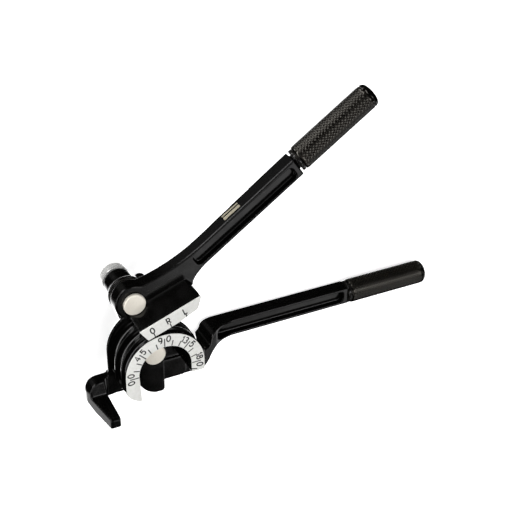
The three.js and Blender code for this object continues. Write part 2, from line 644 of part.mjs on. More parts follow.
// ---- The tool -----------------------------------------------------------------------------
function formerSide() {
  const group = new THREE.Group();
  const pin = headedPin(LUG_FRONT_Z + GAP, PIN_A_END_Z, PIVOT_A);
  const washer = washerRing(THRUST_RADIUS_A, LINK_FRONT_Z, PLATE_BACK_Z, PIVOT_A);
  const rearWasher = washerRing(REAR_WASHER_RADIUS, REAR_WASHER_Z, LINK_BACK_Z, PIVOT_A);
  group.add(part('former_casting', formerCasting(), 'blackPaint'));
  group.add(part('degree_scale', degreeScale(), 'whitePaint'));
  group.add(part('pivot_pin_a', pin, 'nickel'));
  group.add(part('thrust_washer_a', washer, 'bronze'));
  group.add(part('rear_washer_a', rearWasher, 'zinc'));
  group.add(part('lock_nut_a', lockNut(), 'zinc'));
  const axisY = (SHANK_TOP_Y + SHANK_BOTTOM_Y) / 2;
  const axisZ = (SHANK_BACK_Z + SHANK_FRONT_Z) / 2;
  group.add(grip('former', SHANK_END_X, axisY, axisZ, 0));
  return group;
}

function linkSide() {
  const group = new THREE.Group();
  const pin = headedPin(SHOE_FRONT_Z + GAP, PIN_B_END_Z, PIVOT_B);
  const washer = washerRing(THRUST_RADIUS_B, BOSS_FRONT_Z, SHOE_BACK_Z, PIVOT_B);
  const rearWasher = washerRing(REAR_WASHER_RADIUS, REAR_WASHER_Z, LINK_BACK_Z, PIVOT_B);
  group.add(part('link_arm', linkArm(), 'blackPaint'));
  group.add(part('link_bush_a', bush(LINK_BACK_Z, LINK_FRONT_Z, PIVOT_A), 'bronze'));
  group.add(part('pivot_pin_b', pin, 'nickel'));
  group.add(part('thrust_washer_b', washer, 'bronze'));
  group.add(part('rear_washer_b', rearWasher, 'zinc'));
  group.add(part('cap_nut_b', capNut(), 'nickel'));
  return group;
}

function shoeSide() {
  const group = new THREE.Group();
  const end = leverPoint(LEVER_END, GRIP_AXIS);
  const axisZ = (LEVER_END_BACK_Z + SHOE_FRONT_Z) / 2;
  group.add(part('shoe_casting', shoeCasting(), 'blackPaint'));
  group.add(part('shoe_scale', shoeScale(), 'whitePaint'));
  group.add(part('shoe_bush_b', bush(SHOE_BACK_Z, SHOE_FRONT_Z, PIVOT_B), 'bronze'));
  group.add(grip('shoe', end.x, end.y, axisZ, LEVER_TILT));
  return group;
}

const bender = new THREE.Group();
bender.add(formerSide());
bender.add(linkSide());
bender.add(shoeSide());
export default bender;
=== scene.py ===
"""Looks for the two-handle tube bender: rounded enamelled castings, knurled grips, white degree scales.

Lengths inside the script are millimetres in the row frame and become metres when a mesh is made.
"""

import json
import math

import bmesh
import bpy
import numpy as np
from mathutils import Matrix, Vector


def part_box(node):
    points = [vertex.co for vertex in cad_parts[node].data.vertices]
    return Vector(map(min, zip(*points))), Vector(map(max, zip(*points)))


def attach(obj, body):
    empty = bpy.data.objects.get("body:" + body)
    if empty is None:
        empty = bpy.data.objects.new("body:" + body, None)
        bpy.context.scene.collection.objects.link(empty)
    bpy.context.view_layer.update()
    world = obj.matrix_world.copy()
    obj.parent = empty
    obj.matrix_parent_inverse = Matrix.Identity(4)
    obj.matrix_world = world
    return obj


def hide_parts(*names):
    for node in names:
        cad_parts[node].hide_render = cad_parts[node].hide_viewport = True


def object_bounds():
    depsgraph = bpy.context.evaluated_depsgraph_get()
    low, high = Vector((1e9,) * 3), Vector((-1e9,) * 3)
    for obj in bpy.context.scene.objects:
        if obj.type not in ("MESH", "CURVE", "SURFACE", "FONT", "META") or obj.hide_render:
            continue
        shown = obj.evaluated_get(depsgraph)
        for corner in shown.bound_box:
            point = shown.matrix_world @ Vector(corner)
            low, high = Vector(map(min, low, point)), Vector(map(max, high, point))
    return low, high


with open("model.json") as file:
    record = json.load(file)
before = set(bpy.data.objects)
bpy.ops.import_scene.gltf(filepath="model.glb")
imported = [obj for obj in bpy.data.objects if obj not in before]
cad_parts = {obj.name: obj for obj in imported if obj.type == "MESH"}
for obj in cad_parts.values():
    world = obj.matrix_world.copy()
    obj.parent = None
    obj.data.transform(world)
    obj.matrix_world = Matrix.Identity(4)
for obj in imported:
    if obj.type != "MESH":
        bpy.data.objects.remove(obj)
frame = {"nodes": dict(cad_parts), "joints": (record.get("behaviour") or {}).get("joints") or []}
cad_box = [list(corner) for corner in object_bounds()]

# ---- Driving dimensions, in millimetres ---------------------------------------------------
MM = 0.001
JOINTS = {joint["name"]: joint for joint in frame["joints"]}
PIVOT_B = [value / MM for value in JOINTS["shoe_lift"]["pos_m"][:2]]
SCALE_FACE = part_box("degree_scale")[1].z / MM
CASTING_TOP = SCALE_FACE - 0.5

PLATE_BACK = 15.0
PLATE_FACE = 20.8
PLATE_RADIUS = 29.35
PLATE_BACK_RADIUS = 27.0
PLATE_RISE = 2.8                       # the plate's rim is centred this far above pivot A
BEND_RADIUS = 28.0
GROOVES = [(10, 25.9, 28.4), (8, 37.1, 28.0), (6, 46.3, 27.8)]   # tube, height, flange over it
ARCH_INNER = 18.2
TAIL_DROP = 10.8
TAIL_TIP = 19.8
RIGHT_DROP = 7.8
HOOK_SIDE_X = -29.5                    # the hook and its arm lie left of this
BOSS_RADIUS = 9.45
EYE_RADIUS = 12.25
PIN_RADIUS = 4.5
BORE = 4.6                             # of the washers and the lock nut, round the pins
WASHER_RADIUS = 8.4
WIDE_WASHER_RADIUS = 11.9              # fills the gap between the boss and the shoe's eye
BLOCK_TILT = math.radians(20)
LEVER_TILT = math.radians(34.4)

VOXEL = 0.4                            # grain of the castings' surface
ROUNDING = 7                           # smoothing passes, which round the cast edges
SOFTER_ROUNDING = 10                   # further passes on the hook


# ---- Mesh helpers -------------------------------------------------------------------------
def grid_faces(rows, columns, close_rows, close_columns):
    """Quads over a grid of points, joined round at the ends where asked."""
    faces = []
    for i in range(rows if close_rows else rows - 1):
        for j in range(columns if close_columns else columns - 1):
            down, right = (i + 1) % rows, (j + 1) % columns
            faces.append((i * columns + j, i * columns + right, down * columns + right, down * columns + j))
    return faces


def turned(profile, segments=96):
    """A solid turned about Z from (radius, height) points; a profile off the axis closes on itself."""
    profile = np.asarray(profile, float)
    ring_profile = profile[:, 0].min() > 1e-6
    angles = np.arange(segments) * 2 * math.pi / segments
    points = np.empty((len(profile), segments, 3))
    points[..., 0] = profile[:, :1] * np.cos(angles)
    points[..., 1] = profile[:, :1] * np.sin(angles)
    points[..., 2] = profile[:, 1:]
    return points.reshape(-1, 3), grid_faces(len(profile), segments, ring_profile, True)


def extruded(outline, low, high):
    """A prism over a closed outline in the XY plane."""
    outline = np.asarray(outline, float)
    count = len(outline)
    lower = np.column_stack([outline, np.full(count, low)])
    upper = np.column_stack([outline, np.full(count, high)])
    faces = grid_faces(2, count, False, True)
    faces.append(tuple(range(count, 2 * count)))
    faces.append(tuple(reversed(range(count))))
    return np.vstack([lower, upper]), faces


def moved(shape, x=0.0, y=0.0, z=0.0, turn=0.0):
    """A shape turned about Z and moved."""
    points, faces = shape
    c, s = math.cos(turn), math.sin(turn)
    spun = points @ np.array([[c, s, 0], [-s, c, 0], [0, 0, 1]])
    return spun + np.array([x, y, z]), faces


def along_x(shape):
    """A shape turned about Z laid down so that its axis is X."""
    points, faces = shape
    return points[:, [2, 0, 1]], faces


def arc(centre, radius, start, end, steps):
    """Points on an arc, angles in degrees."""
    angles = np.radians(np.linspace(start, end, steps))
    return [(centre[0] + radius * math.cos(a), centre[1] + radius * math.sin(a)) for a in angles]


def curve(start, control, end, steps):
    """Points on a quadratic curve, without its first."""
    points = []
    for t in np.linspace(0, 1, steps)[1:]:
        points.append(tuple(
            (1 - t) ** 2 * a + 2 * t * (1 - t) * b + t * t * c for a, b, c in zip(start, control, end)))
    return points


def mesh_from(name, shapes):
    """One mesh, in metres, holding every shape, its faces pointing out."""
    bm = bmesh.new()
    for points, faces in shapes:
        verts = [bm.verts.new(Vector(point) * MM) for point in points]
        for face in faces:
            bm.faces.new([verts[i] for i in face])
    bmesh.ops.remove_doubles(bm, verts=bm.verts, dist=1e-7)
    bmesh.ops.dissolve_degenerate(bm, edges=bm.edges, dist=1e-7)
    bmesh.ops.recalc_face_normals(bm, faces=bm.faces)
    mesh = bpy.data.meshes.new(name)
    bm.to_mesh(mesh)
    bm.free()
    return mesh


def new_object(name, mesh):
    """Puts a mesh into the scene."""
    piece = bpy.data.objects.new(name, mesh)
    bpy.context.scene.collection.objects.link(piece)
    return piece


def applied(piece):
    """Bakes a piece's modifiers into its mesh."""
    graph = bpy.context.evaluated_depsgraph_get()
    mesh = bpy.data.meshes.new_from_object(piece.evaluated_get(graph))
    piece.modifiers.clear()
    piece.data = mesh
    return piece


def shade(piece, sharp_angle=None):
    """Smooth shading, kept sharp where faces meet at more than sharp_angle degrees."""
    piece.data.shade_smooth()
    if sharp_angle is not None:
        piece.data.set_sharp_from_angle(angle=math.radians(sharp_angle))
    return piece


def finish_piece(piece, body, material, replaced=()):
    """Gives a piece its material, its body and the CAD nodes that it stands for."""
    piece.data.materials.clear()
    piece.data.materials.append(material)
    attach(piece, body)
    if replaced:
        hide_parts(*replaced)
    return piece


def plain_piece(name, shapes, bevel=0.0, sharp_angle=35):
    """A piece made of the shapes as they are, its edges broken by a small bevel where asked."""
    piece = new_object(name, mesh_from(name, shapes))
    if bevel:
        modifier = piece.modifiers.new("edge", "BEVEL")
        modifier.width = bevel * MM
        modifier.segments = 3
        modifier.limit_method = "ANGLE"
        modifier.angle_limit = math.radians(30)
        applied(piece)
    return shade(piece, sharp_angle)


def cast_piece(name, node, shapes, keep, softer=None):
    """A casting: the CAD node's shape and finer covers over its curved faces, fused and rounded.

    keep is the share of the fused faces left after thinning out the flat ones; softer gives, for a
    point in millimetres, how far the stronger rounding applies there.
    """
    bm = bmesh.new()
    bm.from_mesh(frame["nodes"][node].data)
    bmesh.ops.remove_doubles(bm, verts=bm.verts, dist=1e-7)
    extra = mesh_from("covers", shapes)
    bm.from_mesh(extra)
    mesh = bpy.data.meshes.new(name)
    bm.to_mesh(mesh)
    bm.free()
    piece = new_object(name, mesh)
    remesh = piece.modifiers.new("fuse", "REMESH")
    remesh.mode = "VOXEL"
    remesh.voxel_size = VOXEL * MM
    smooth = piece.modifiers.new("round", "SMOOTH")
    smooth.factor = 0.5
    smooth.iterations = ROUNDING
    applied(piece)
    if softer:
        group = piece.vertex_groups.new(name="softer")
        for vertex in piece.data.vertices:
            group.add([vertex.index], softer(vertex.co / MM), "REPLACE")
        smooth = piece.modifiers.new("round_more", "SMOOTH")
        smooth.iterations = SOFTER_ROUNDING
        smooth.vertex_group = group.name
    thin = piece.modifiers.new("thin_out", "DECIMATE")
    thin.ratio = keep
    return shade(applied(piece))


# ---- Material helpers ---------------------------------------------------------------------
def socket_name(word):
    """The socket that a keyword stands for: base_color gives Base Color."""
    return word.replace("_", " ").title().replace("Ior", "IOR")


class Shader:
    """A node material with a Principled shader and short calls for what feeds it."""

    def __init__(self, name, **values):
        self.material = bpy.data.materials.new(name)
        self.material.use_nodes = True
        self.tree = self.material.node_tree
        self.main = self.tree.nodes["Principled BSDF"]
        for socket, value in values.items():
            self.main.inputs[socket_name(socket)].default_value = value
        self.place = self.tree.nodes.new("ShaderNodeTexCoord").outputs["Object"]

    def node(self, kind, **settings):
        made = self.tree.nodes.new(kind)
        for key, value in settings.items():
            setattr(made, key, value)
        return made

    def link(self, out, into):
        self.tree.links.new(out, into)

    def noise(self, size, detail, stretch=(1, 1, 1), rough=0.5):
        """Noise whose blobs measure about size millimetres, stretched along an axis."""
        mapping = self.node("ShaderNodeMapping")
        mapping.inputs["Scale"].default_value = [1 / s for s in stretch]
        self.link(self.place, mapping.inputs["Vector"])
        noise = self.node("ShaderNodeTexNoise")
        noise.inputs["Scale"].default_value = 1 / (size * MM)
        noise.inputs["Detail"].default_value = detail
        noise.inputs["Roughness"].default_value = rough
        self.link(mapping.outputs["Vector"], noise.inputs["Vector"])
        return noise.outputs["Fac"]

    def ranged(self, value, low, high, to_low=0.0, to_high=1.0):
        """A value between low and high carried over to the second range, and held at its ends."""
        node = self.node("ShaderNodeMapRange")
        settings = {"From Min": low, "From Max": high, "To Min": to_low, "To Max": to_high}
        for socket, number in settings.items():
            node.inputs[socket].default_value = number
        self.link(value, node.inputs["Value"])
        return node.outputs["Result"]

    def times(self, a, b):
        node = self.node("ShaderNodeMath", operation="MULTIPLY")
        self.link(a, node.inputs[0])
        self.link(b, node.inputs[1])
        return node.outputs[0]

    def mixed(self, factor, a, b):
        """A colour between a and b, each a colour or another mix."""
        node = self.node("ShaderNodeMix", data_type="RGBA")
        self.link(factor, node.inputs["Factor"])
        for socket, colour in ((node.inputs[6], a), (node.inputs[7], b)):
            if isinstance(colour, tuple):
                socket.default_value = (*colour, 1)
            else:
                self.link(colour, socket)
        return node.outputs[2]

    def edges(self, low, high):
        """Rises from 0 to 1 on convex edges, as their pointiness goes from low to high."""
        geometry = self.node("ShaderNodeNewGeometry")
        return self.ranged(geometry.outputs["Pointiness"], low, high)

    def bump(self, height, depth, strength, under=None):
        """Bump of depth millimetres, laid over another bump."""
        node = self.node("ShaderNodeBump")
        node.inputs["Strength"].default_value = strength
        node.inputs["Distance"].default_value = depth * MM
        self.link(height, node.inputs["Height"])
        if under is not None:
            self.link(under, node.inputs["Normal"])
        return node.outputs["Normal"]

    def wire(self, **sockets):
        """Links outputs to the main shader's sockets and gives back the material."""
        for socket, out in sockets.items():
            self.link(out, self.main.inputs[socket_name(socket)])
        return self.material


def black_enamel():
    """Gloss enamel over cast metal: a soft orange peel, and convex edges painted lighter grey, partly as
    rubbed wear and partly as a painted edge highlight.
    """
    s = Shader("black_enamel", specular_ior_level=0.35, coat_weight=0.1, coat_roughness=0.08)
    grain = s.noise(1.6, 3)
    swell = s.noise(9, 2)
    scuffs = s.noise(4, 5, rough=0.65)
    # Lighter grey on convex edges in patches: partly rubbed wear, partly a painted edge highlight.
    edge_wear_and_highlight = s.times(s.edges(0.53, 0.62), s.ranged(scuffs, 0.42, 0.62))
    paint = s.mixed(grain, (0.0008, 0.0008, 0.0008), (0.0025, 0.0024, 0.0022))
    colour = s.mixed(edge_wear_and_highlight, paint, (0.075, 0.07, 0.064))
    roughness = s.ranged(swell, 0.3, 0.7, 0.12, 0.22)
    normal = s.bump(grain, 0.03, 0.3, s.bump(swell, 0.2, 0.1))
    return s.wire(base_color=colour, roughness=roughness, normal=normal)


def white_enamel():
    """The scales' paint: satin, faintly mottled, with small grey specks."""
    s = Shader("white_enamel_satin", coat_weight=0.1, coat_roughness=0.3)
    mottle = s.noise(2.2, 4)
    specks = s.noise(0.7, 2)
    colour = s.mixed(s.ranged(mottle, 0.35, 0.7), (0.80, 0.80, 0.775), (0.735, 0.735, 0.70))
    colour = s.mixed(s.ranged(specks, 0.7, 0.78), colour, (0.55, 0.54, 0.5))
    roughness = s.ranged(mottle, 0.3, 0.7, 0.38, 0.5)
    return s.wire(base_color=colour, roughness=roughness, normal=s.bump(specks, 0.02, 0.3))


def printed_ink():
    """The black of the figures and ticks."""
    s = Shader("printed_ink")
    patches = s.noise(0.8, 3)
    colour = s.mixed(patches, (0.008, 0.008, 0.009), (0.03, 0.03, 0.029))
    return s.wire(base_color=colour, roughness=s.ranged(patches, 0.3, 0.7, 0.45, 0.6))


def plated(name, bright, dull, low, high, metallic=1.0):
    """Plated metal with fine scratches that run one way and a soft cloudiness."""
    s = Shader(name, metallic=metallic)
    scratches = s.noise(0.5, 4, stretch=(1, 14, 3), rough=0.7)
    clouds = s.noise(3, 3)
    colour = s.mixed(clouds, bright, dull)
    roughness = s.ranged(scratches, 0.3, 0.7, low, high)
    normal = s.bump(scratches, 0.015, 0.35, s.bump(clouds, 0.06, 0.25))
    return s.wire(base_color=colour, roughness=roughness, normal=normal)


def blackened_steel():
    """The grips: oiled black oxide, browner and brighter on the knurl's lands, partly as wear where hands
    rub and partly as painted shade that keeps the grooves darker.
    """
    s = Shader("blackened_steel", specular_ior_level=0.6, specular_tint=(1, 0.95, 0.85, 1))
    clouds = s.noise(5, 4)
    lands = s.node("ShaderNodeAttribute", attribute_name="land").outputs["Fac"]
    # Lands lighter than grooves: partly rubbed wear, partly painted shade in the knurl's grooves.
    land_wear_and_groove_shade = s.times(s.ranged(lands, 0.35, 1.0), s.ranged(clouds, 0.3, 0.6, 0.5, 1.0))
    colour = s.mixed(clouds, (0.0006, 0.0006, 0.0006), (0.0018, 0.0017, 0.0015))
    colour = s.mixed(land_wear_and_groove_shade, colour, (0.015, 0.014, 0.0118))
    roughness = s.ranged(s.noise(0.6, 3), 0.3, 0.7, 0.07, 0.16)
    return s.wire(base_color=colour, roughness=roughness)


def foil():
    """A thin pale gold film with a fine upright grain."""
    s = Shader("foil_label", metallic=0.7)
    fine = s.noise(0.35, 2, stretch=(1, 1, 6))
    colour = s.mixed(fine, (0.72, 0.66, 0.5), (0.55, 0.5, 0.38))
    return s.wire(base_color=colour, roughness=s.ranged(fine, 0.3, 0.7, 0.3, 0.45))


BLACK = black_enamel()
WHITE = white_enamel()
INK = printed_ink()
NICKEL = plated("nickel_plate", (0.92, 0.87, 0.775), (0.85, 0.80, 0.70), 0.26, 0.4, 0.3)
SILVER = plated("bright_plate", (0.94, 0.94, 0.92), (0.5, 0.5, 0.49), 0.2, 0.34, 0.45)
ZINC = plated("zinc_plate", (0.7, 0.71, 0.72), (0.55, 0.56, 0.57), 0.3, 0.45)
# Near-black bronze for the wide washer between the boss and the shoe's eye: painted shade standing in for
# the dark gap there.
GAP_SHADE_BRONZE = plated("bronze_darkened_as_gap_shade", (0.012, 0.01, 0.008), (0.006, 0.005, 0.004), 0.35, 0.5, 0.2)
BRONZE = plated("bearing_bronze", (0.62, 0.44, 0.2), (0.45, 0.31, 0.14), 0.32, 0.5)
GRIP = blackened_steel()
FOIL = foil()


# ---- The camera ---------------------------------------------------------------------------
CAMERA_PLACE = (-0.2265, 0.4688, 0.6424)   # metres
CAMERA_RIGHT = (0.8966, -0.0001, 0.4427)
CAMERA_DOWN = (-0.2294, -0.8554, 0.4644)
SENSOR_WIDTH = 36.0
LENS = 84.375


def add_camera():
    """The photograph's viewpoint: above the wheel, on the side of pivot B, rolled to the right."""
    right = Vector(CAMERA_RIGHT)
    down = Vector(CAMERA_DOWN)
    ahead = right.cross(down)
    camera = bpy.data.cameras.new("camera")
    camera.sensor_width = SENSOR_WIDTH
    camera.lens = LENS
    piece = bpy.data.objects.new("camera", camera)
    bpy.context.scene.collection.objects.link(piece)
    turn = Matrix((right, -down, -ahead)).transposed().to_4x4()
    piece.matrix_world = Matrix.Translation(CAMERA_PLACE) @ turn
    bpy.context.scene.camera = piece


# ---- The former casting -------------------------------------------------------------------
def swept(profile, stations):
    """A closed (radius, height) profile carried through stations of (angle, x, y)."""
    profile = np.asarray(profile)
    rows = []
    for angle, x, y in stations:
        a = math.radians(angle)
        rows.append(np.column_stack([
            x + profile[:, 0] * math.cos(a), y + profile[:, 0] * math.sin(a), profile[:, 1]]))
    count = len(profile)
    faces = grid_faces(len(rows), count, False, True)
    faces.append(tuple(range(count)))
    last = (len(rows) - 1) * count
    faces.append(tuple(reversed(range(last, last + count))))
    return np.vstack(rows), faces


def wheel_rim():
    """The grooved rim, up its left leg, over the half circle and down its right leg."""
    leg = -4
    points = [(ARCH_INNER - 0.1, PLATE_FACE - 1), (PLATE_BACK_RADIUS, PLATE_FACE - 1)]
    below = PLATE_BACK_RADIUS
    for tube, height, flange in GROOVES:
        radius = tube / 2
        start = math.degrees(math.acos((below - BEND_RADIUS) / radius))
        end = math.degrees(math.acos((flange - BEND_RADIUS) / radius))
        points += arc((BEND_RADIUS, height), radius, 360 - start, end, 22)
        below = flange
    points += [(GROOVES[-1][2], CASTING_TOP), (ARCH_INNER - 0.1, CASTING_TOP)]
    arch = [(angle, 0, 0) for angle in np.linspace(180, 0, 121)]
    return swept(points, [(180, 0, leg), *arch, (0, 0, leg)])


def plate_rim():
    """The plate's leaning edge behind the grooves, up its left side and over its top."""
    inner, leg = PLATE_RADIUS - 8, -11
    section = [
        (inner, PLATE_BACK), (PLATE_BACK_RADIUS, PLATE_BACK), (PLATE_RADIUS, PLATE_FACE - 2),
        (PLATE_RADIUS, PLATE_FACE), (inner, PLATE_FACE)]
    top = [(angle, 0, PLATE_RISE) for angle in np.linspace(180, 62, 81)]
    return swept(section, [(180, 0, leg), *top])


def arch_outline(outer, inner, inset=0.0):
    """The wheel's front face, with its long tail on the left, drawn in by inset."""
    outer, inner = outer - inset, inner + inset
    points = arc((0, 0), outer, 0, 180, 91)
    shoulder = (-outer, -TAIL_DROP)
    tip = (-inner + 1, -TAIL_TIP + inset)
    points.append(shoulder)
    points += curve(shoulder, (-outer + 1.8, -TAIL_DROP - 6), tip, 14)
    points += arc((0, 0), inner, 180, 0, 73)
    points += [(inner, -RIGHT_DROP + inset), (outer, -RIGHT_DROP + inset)]
    return points


def hook_share(point):
    """1 on the hook and its arm, fading to 0 over 3 mm to their right."""
    return min(1, max(0, (HOOK_SIDE_X - point.x) / 3))


def former_casting():
    """The wheel, plate, hook and shank, with fine covers on the rims, the front face and the lug."""
    front = extruded(arch_outline(GROOVES[-1][2], ARCH_INNER), 49.5, CASTING_TOP)
    lug = turned([(6, 22), (10.05, 22), (10.05, 29.4), (9.4, 30), (6, 30)])
    covers = [wheel_rim(), plate_rim(), front, lug]
    piece = cast_piece("former_body", "former_casting", covers, 0.4, hook_share)
    finish_piece(piece, "former", BLACK, ["former_casting"])


# ---- The link and the shoe lever ----------------------------------------------------------
def link_casting():
    """The link behind the wheel, with a flared boss under the shoe's eye and a round end at each pin."""
    flare = curve((BOSS_RADIUS, 15.5), (9.8, 20.6), (EYE_RADIUS, 21.4), 10)
    base = [(6.6, 6.6), (8.8, 6.6), (BOSS_RADIUS, 7.2), (BOSS_RADIUS, 15.5)]
    boss = turned(base + flare + [(EYE_RADIUS, 23.1), (11.9, 23.4), (6.6, 23.4)])
    ends = turned([(7, 6), (8.6, 6), (9.25, 6.6), (9.25, 13), (8.6, 13.6), (7, 13.6)])
    covers = [moved(boss, *PIVOT_B), moved(ends, *PIVOT_B), ends]
    piece = cast_piece("link_body", "link_arm", covers, 0.8)
    finish_piece(piece, "link", BLACK, ["link_arm"])


def shoe_casting():
    """The shoe lever, with fine covers round its eye."""
    rim = [(11.6, 26.2), (EYE_RADIUS, 26.8), (EYE_RADIUS, 34.9), (11.6, 35.6)]
    eye = turned([(7, 26.2), *rim, (7, 35.6)])
    pad = turned([(7, 24.7), (11.85, 24.7), (11.85, 27), (7, 27)])
    covers = [moved(eye, *PIVOT_B), moved(pad, *PIVOT_B)]
    piece = cast_piece("shoe_body", "shoe_casting", covers, 0.6)
    finish_piece(piece, "shoe", BLACK, ["shoe_casting"])


# ---- Scales -------------------------------------------------------------------------------
GLYPH_WIDTH = 3.0
GLYPH_HEIGHT = 4.7
STROKE = 0.88
TICK_WIDTH = 0.76
SUNK = 0.05                            # how far figures and ticks reach into the scale's face
PLATE_EDGE = 0.12                      # the small bevel round both plates


def ellipse(x, y, wide, high, start=0, end=360, steps=22):
    """Points on an ellipse or a part of it, angles in degrees."""
    angles = np.radians(np.linspace(start, end, steps))
    return [(x + wide * math.cos(a), y + high * math.sin(a)) for a in angles]


def glyph_strokes(glyph):
    """Strokes of a plain figure in a box one wide and one high, centred on the origin."""
    if glyph == "0":
        return [ellipse(0, 0, 0.42, 0.46)]
    if glyph == "1":
        return [[(-0.22, 0.24), (0.08, 0.46), (0.08, -0.46)]]
    if glyph == "3":
        return [ellipse(-0.02, 0.23, 0.34, 0.23, 150, -80), ellipse(-0.02, -0.21, 0.38, 0.25, 85, -150)]
    if glyph == "4":
        return [[(0.2, -0.46), (0.2, 0.46), (-0.42, -0.18), (0.44, -0.18)]]
    if glyph == "5":
        return [[(0.36, 0.45), (-0.28, 0.45), (-0.34, 0.02)] + ellipse(0, -0.15, 0.38, 0.31, 135, -145)]
    if glyph == "8":
        return [ellipse(0, 0.24, 0.31, 0.21), ellipse(0, -0.2, 0.38, 0.25)]
    if glyph == "9":
        return [ellipse(0, 0.17, 0.38, 0.29), ellipse(-0.04, 0.12, 0.42, 0.58, 5, -100, 12)]
    if glyph == "R":
        bowl = [(0.02, 0.46)] + ellipse(0.04, 0.22, 0.32, 0.24, 90, -90, 12) + [(-0.34, -0.02)]
        return [[(-0.34, -0.46), (-0.34, 0.46)] + bowl, [(0.04, -0.02), (0.38, -0.46)]]
    return [[(-0.3, 0.46), (-0.3, -0.46), (0.36, -0.46)]]


def ribbon(points, width, low, high):
    """A raised line of even width along points, closed if its ends meet."""
    points = np.asarray(points, float)
    closed = np.linalg.norm(points[0] - points[-1]) < 1e-6
    if closed:
        points = points[:-1]
        ahead = np.roll(points, -1, 0) - points
        behind = points - np.roll(points, 1, 0)
    else:
        steps = np.diff(points, axis=0)
        ahead = np.vstack([steps, steps[-1]])
        behind = np.vstack([steps[0], steps])
    ahead /= np.linalg.norm(ahead, axis=1)[:, None]
    behind /= np.linalg.norm(behind, axis=1)[:, None]
    middle = ahead + behind
    middle /= np.linalg.norm(middle, axis=1)[:, None]
    reach = width / 2 / np.clip((middle * ahead).sum(1), 0.6, 1)
    side = np.column_stack([-middle[:, 1], middle[:, 0]]) * reach[:, None]
    left, right = points + side, points - side
    count = len(points)
    corners = np.stack([
        np.column_stack([left, np.full(count, low)]), np.column_stack([right, np.full(count, low)]),
        np.column_stack([right, np.full(count, high)]), np.column_stack([left, np.full(count, high)])], 1)
    faces = grid_faces(count, 4, closed, True)
    if not closed:
        faces.append((0, 1, 2, 3))
        faces.append(tuple(reversed(range(4 * count - 4, 4 * count))))
    return corners.reshape(-1, 3), faces


def figure(glyph, x, y, turn):
    """A figure at (x, y) on a scale's face, its top pointing along turn + 90 degrees."""
    c, s = math.cos(turn), math.sin(turn)
    strokes = []
    for stroke in glyph_strokes(glyph):
        placed = [
            (x + u * GLYPH_WIDTH * c - v * GLYPH_HEIGHT * s, y + u * GLYPH_WIDTH * s + v * GLYPH_HEIGHT * c)
            for u, v in stroke]
        strokes.append(ribbon(placed, STROKE, SCALE_FACE - SUNK, SCALE_FACE + 0.03))
    return strokes


def tick(start, end):
    """A straight mark on a scale's face."""
    return ribbon([start, end], TICK_WIDTH, SCALE_FACE - SUNK, SCALE_FACE + 0.025)


def polar(radius, degrees):
    """The point at a radius and an angle about pivot A."""
    angle = math.radians(degrees)
    return radius * math.cos(angle), radius * math.sin(angle)


def degree_scale():
    """The white arch plate, a tick each 15 degrees and a figure at each numbered one."""
    bare_rim = 0.25
    outline = arch_outline(GROOVES[-1][2], ARCH_INNER, bare_rim)
    face = extruded(outline, CASTING_TOP - 0.2, SCALE_FACE)
    plate = plain_piece("degree_plate", [face], PLATE_EDGE)
    finish_piece(plate, "former", WHITE, ["degree_scale"])
    numbered = {0: ("0", "0"), 45: ("4", "5"), 90: ("9", "0"), 135: ("13", "5"), 180: ("18", "0")}
    figure_radius, first, pitch = 24.3, 6.8, 6.2       # mm; degrees off the tick and apart
    tick_start, long_tick_end, short_tick_end = 18.7, 24.9, 22.9
    marks = []
    for degrees in range(0, 196, 15):
        at = 180 - degrees
        tick_end = long_tick_end if degrees in numbered else short_tick_end
        marks.append(tick(polar(tick_start, at), polar(tick_end, at)))
        before, after = numbered.get(degrees, ("", ""))
        places = [(g, at + first + pitch * i) for i, g in enumerate(reversed(before))]
        places += [(g, at - first - pitch * i) for i, g in enumerate(after)]
        for glyph, angle in places:
            x, y = polar(figure_radius, angle)
            marks += figure(glyph, x, y, math.radians(angle - 90))
    ink = plain_piece("degree_figures", marks)
    finish_piece(ink, "former", INK)


def block_point(along, out):
    """A point given along and out from the shoe's block."""
    c, s = math.cos(BLOCK_TILT), math.sin(BLOCK_TILT)
    return along * c - out * s, along * s + out * c


def shoe_scale():
    """The white plate on the block and its three marks, drawn along and out from the block."""
    left, right, face, top = -3.4, 41.7, 28.7, 38.0
    outline = [
        (right, top - 0.1), (right, top - 0.8), (right - 4.3, face + 2.6), (right - 5.6, face + 1.5),
        (right - 12, face + 0.9), (23, face), (left + 2.6, face), (left + 2, face + 1.4),
        (left, top - 0.4), (left, top - 0.1)]
    slab = extruded([block_point(*point) for point in outline], SCALE_FACE - 1.0, SCALE_FACE)
    plate = plain_piece("shoe_plate", [slab], PLATE_EDGE)
    finish_piece(plate, "shoe", WHITE, ["shoe_scale"])
    figure_middle, tick_top = 34.2, 31.9
    marks = []
    for glyph, along, tick_along, gap in (
            ("0", 4.1, 4.1, 0.15), ("R", 16.0, 16.2, 0.15), ("L", 28.2, 28.0, 0.65)):
        x, y = block_point(along, figure_middle)
        marks += figure(glyph, x, y, BLOCK_TILT)
        marks.append(tick(block_point(tick_along, tick_top), block_point(tick_along, face + gap)))
    ink = plain_piece("shoe_figures", marks)
    finish_piece(ink, "shoe", INK)


